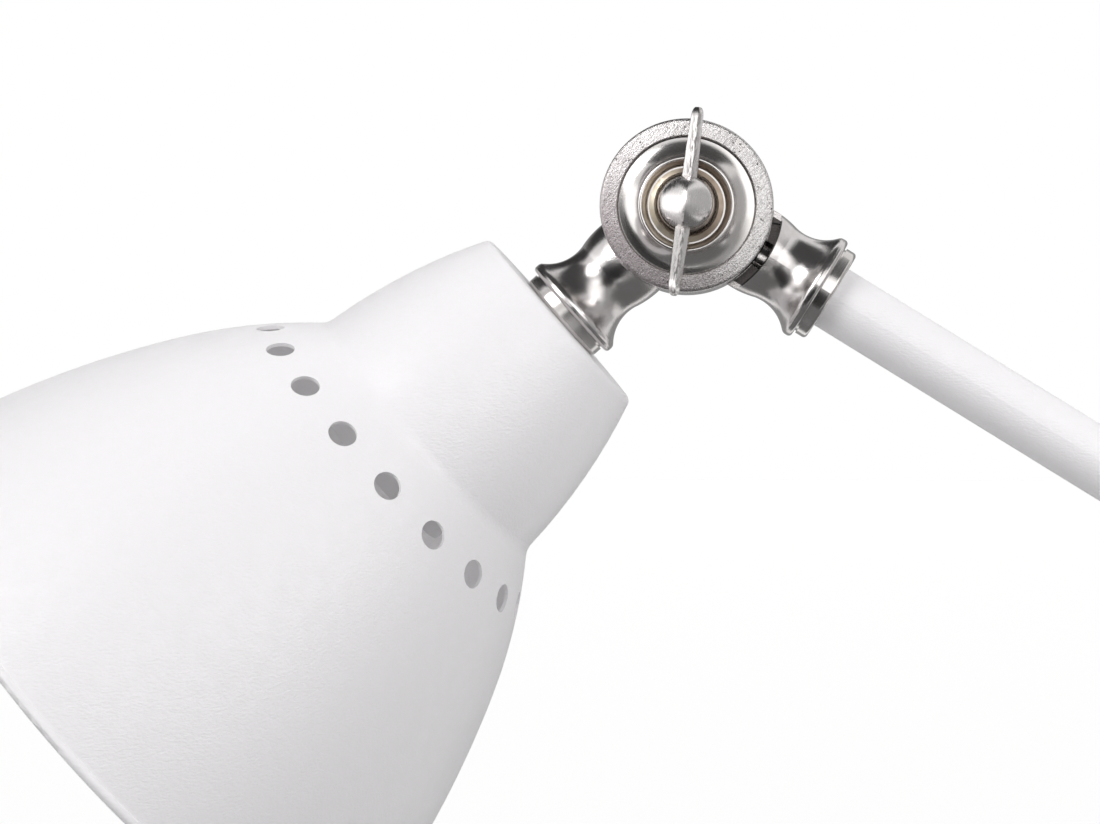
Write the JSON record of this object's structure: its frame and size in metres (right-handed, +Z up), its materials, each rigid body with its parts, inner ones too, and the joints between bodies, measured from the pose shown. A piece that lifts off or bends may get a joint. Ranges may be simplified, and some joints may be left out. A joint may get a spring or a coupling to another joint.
{
  "type": "articulating wall lamp",
  "caption": "Wall lamp with a spun dome shade on a straight tube arm, tilted at both ends by nickel friction knuckles with wing nuts and turning on a round wall cover.",
  "frame": {"origin": "centre of the wall cover's back, on the wall", "axes": "+Y into the wall, so the lamp stands out along -Y; +Z up; both knuckles turn about X"},
  "size_m": [0.1676, 0.4966, 0.2267],
  "materials": {
    "white_paint": "white powder coat, fine texture",
    "nickel": "satin nickel plate over castings and turned pieces",
    "brass": "turned brass",
    "zinc_steel": "zinc plated steel",
    "white_plastic": "moulded thermoset, satin",
    "ceramic": "unglazed steatite",
    "fibre": "pressed fibre"
  },
  "bodies": {
    "wall_mount": {"wall_bracket": "zinc_steel", "wall_cover": "white_paint", "cover_plate": "zinc_steel", "cover_screws": "nickel", "stop_pin": "zinc_steel", "terminal_block": "white_plastic", "terminal_clamps": "brass", "terminal_screws": "zinc_steel", "earth_washer": "zinc_steel", "earth_screw": "zinc_steel"},
    "swivel": {"wall_knuckle_half": "nickel", "wall_collar": "nickel", "wall_wire_tube": "zinc_steel", "swivel_friction_washer": "zinc_steel", "swivel_stop_washer": "zinc_steel", "swivel_lock_nut": "zinc_steel", "wall_dish_washer": "nickel", "wall_brass_washer": "brass"},
    "arm": {"arm_tube": "white_paint", "lower_knuckle_half": "nickel", "lower_collar": "nickel", "lower_wire_tube": "zinc_steel", "lower_tube_plug": "zinc_steel", "lower_friction_pad": "fibre", "lower_dish_washer": "nickel", "lower_brass_washer": "brass", "lower_clamp_bolt": "nickel", "upper_knuckle_half": "nickel", "upper_collar": "nickel", "upper_wire_tube": "zinc_steel", "upper_tube_plug": "zinc_steel", "upper_friction_pad": "fibre", "upper_dish_washer": "nickel", "upper_brass_washer": "brass", "upper_clamp_bolt": "nickel"},
    "head": {"head_knuckle_half": "nickel", "head_dish_washer": "nickel", "head_brass_washer": "brass", "head_collar": "nickel", "head_wire_tube": "zinc_steel", "shade": "white_paint", "shade_tooth_washer": "zinc_steel", "shade_lock_nut": "zinc_steel", "holder_cap": "white_plastic", "holder_body": "white_plastic", "socket_base": "ceramic", "socket_shell": "brass", "centre_contact": "brass"},
    "head_wing": {"head_wing_nut": "nickel"},
    "wall_wing": {"wall_wing_nut": "nickel"}
  },
  "joints": [
    {"name": "wall_swivel", "type": "hinge", "parent": "wall_mount", "child": "swivel", "pos_m": [0, 0, 0], "axis": [0, 1, 0], "range_deg": [-160, 160]},
    {"name": "arm_tilt", "type": "hinge", "parent": "swivel", "child": "arm", "pos_m": [0, -0.0655, 0], "axis": [-1, 0, 0], "range_deg": [-120, 58]},
    {"name": "head_tilt", "type": "hinge", "parent": "arm", "child": "head", "pos_m": [0, -0.30347, 0.14755], "axis": [-1, 0, 0], "range_deg": [-44, 188]},
    {"name": "head_wing_turn", "type": "hinge", "parent": "arm", "child": "head_wing", "pos_m": [0, -0.30347, 0.14755], "axis": [1, 0, 0], "range_deg": [0, 180]},
    {"name": "wall_wing_turn", "type": "hinge", "parent": "arm", "child": "wall_wing", "pos_m": [0, -0.0655, 0], "axis": [1, 0, 0], "range_deg": [0, 180]}
  ]
}
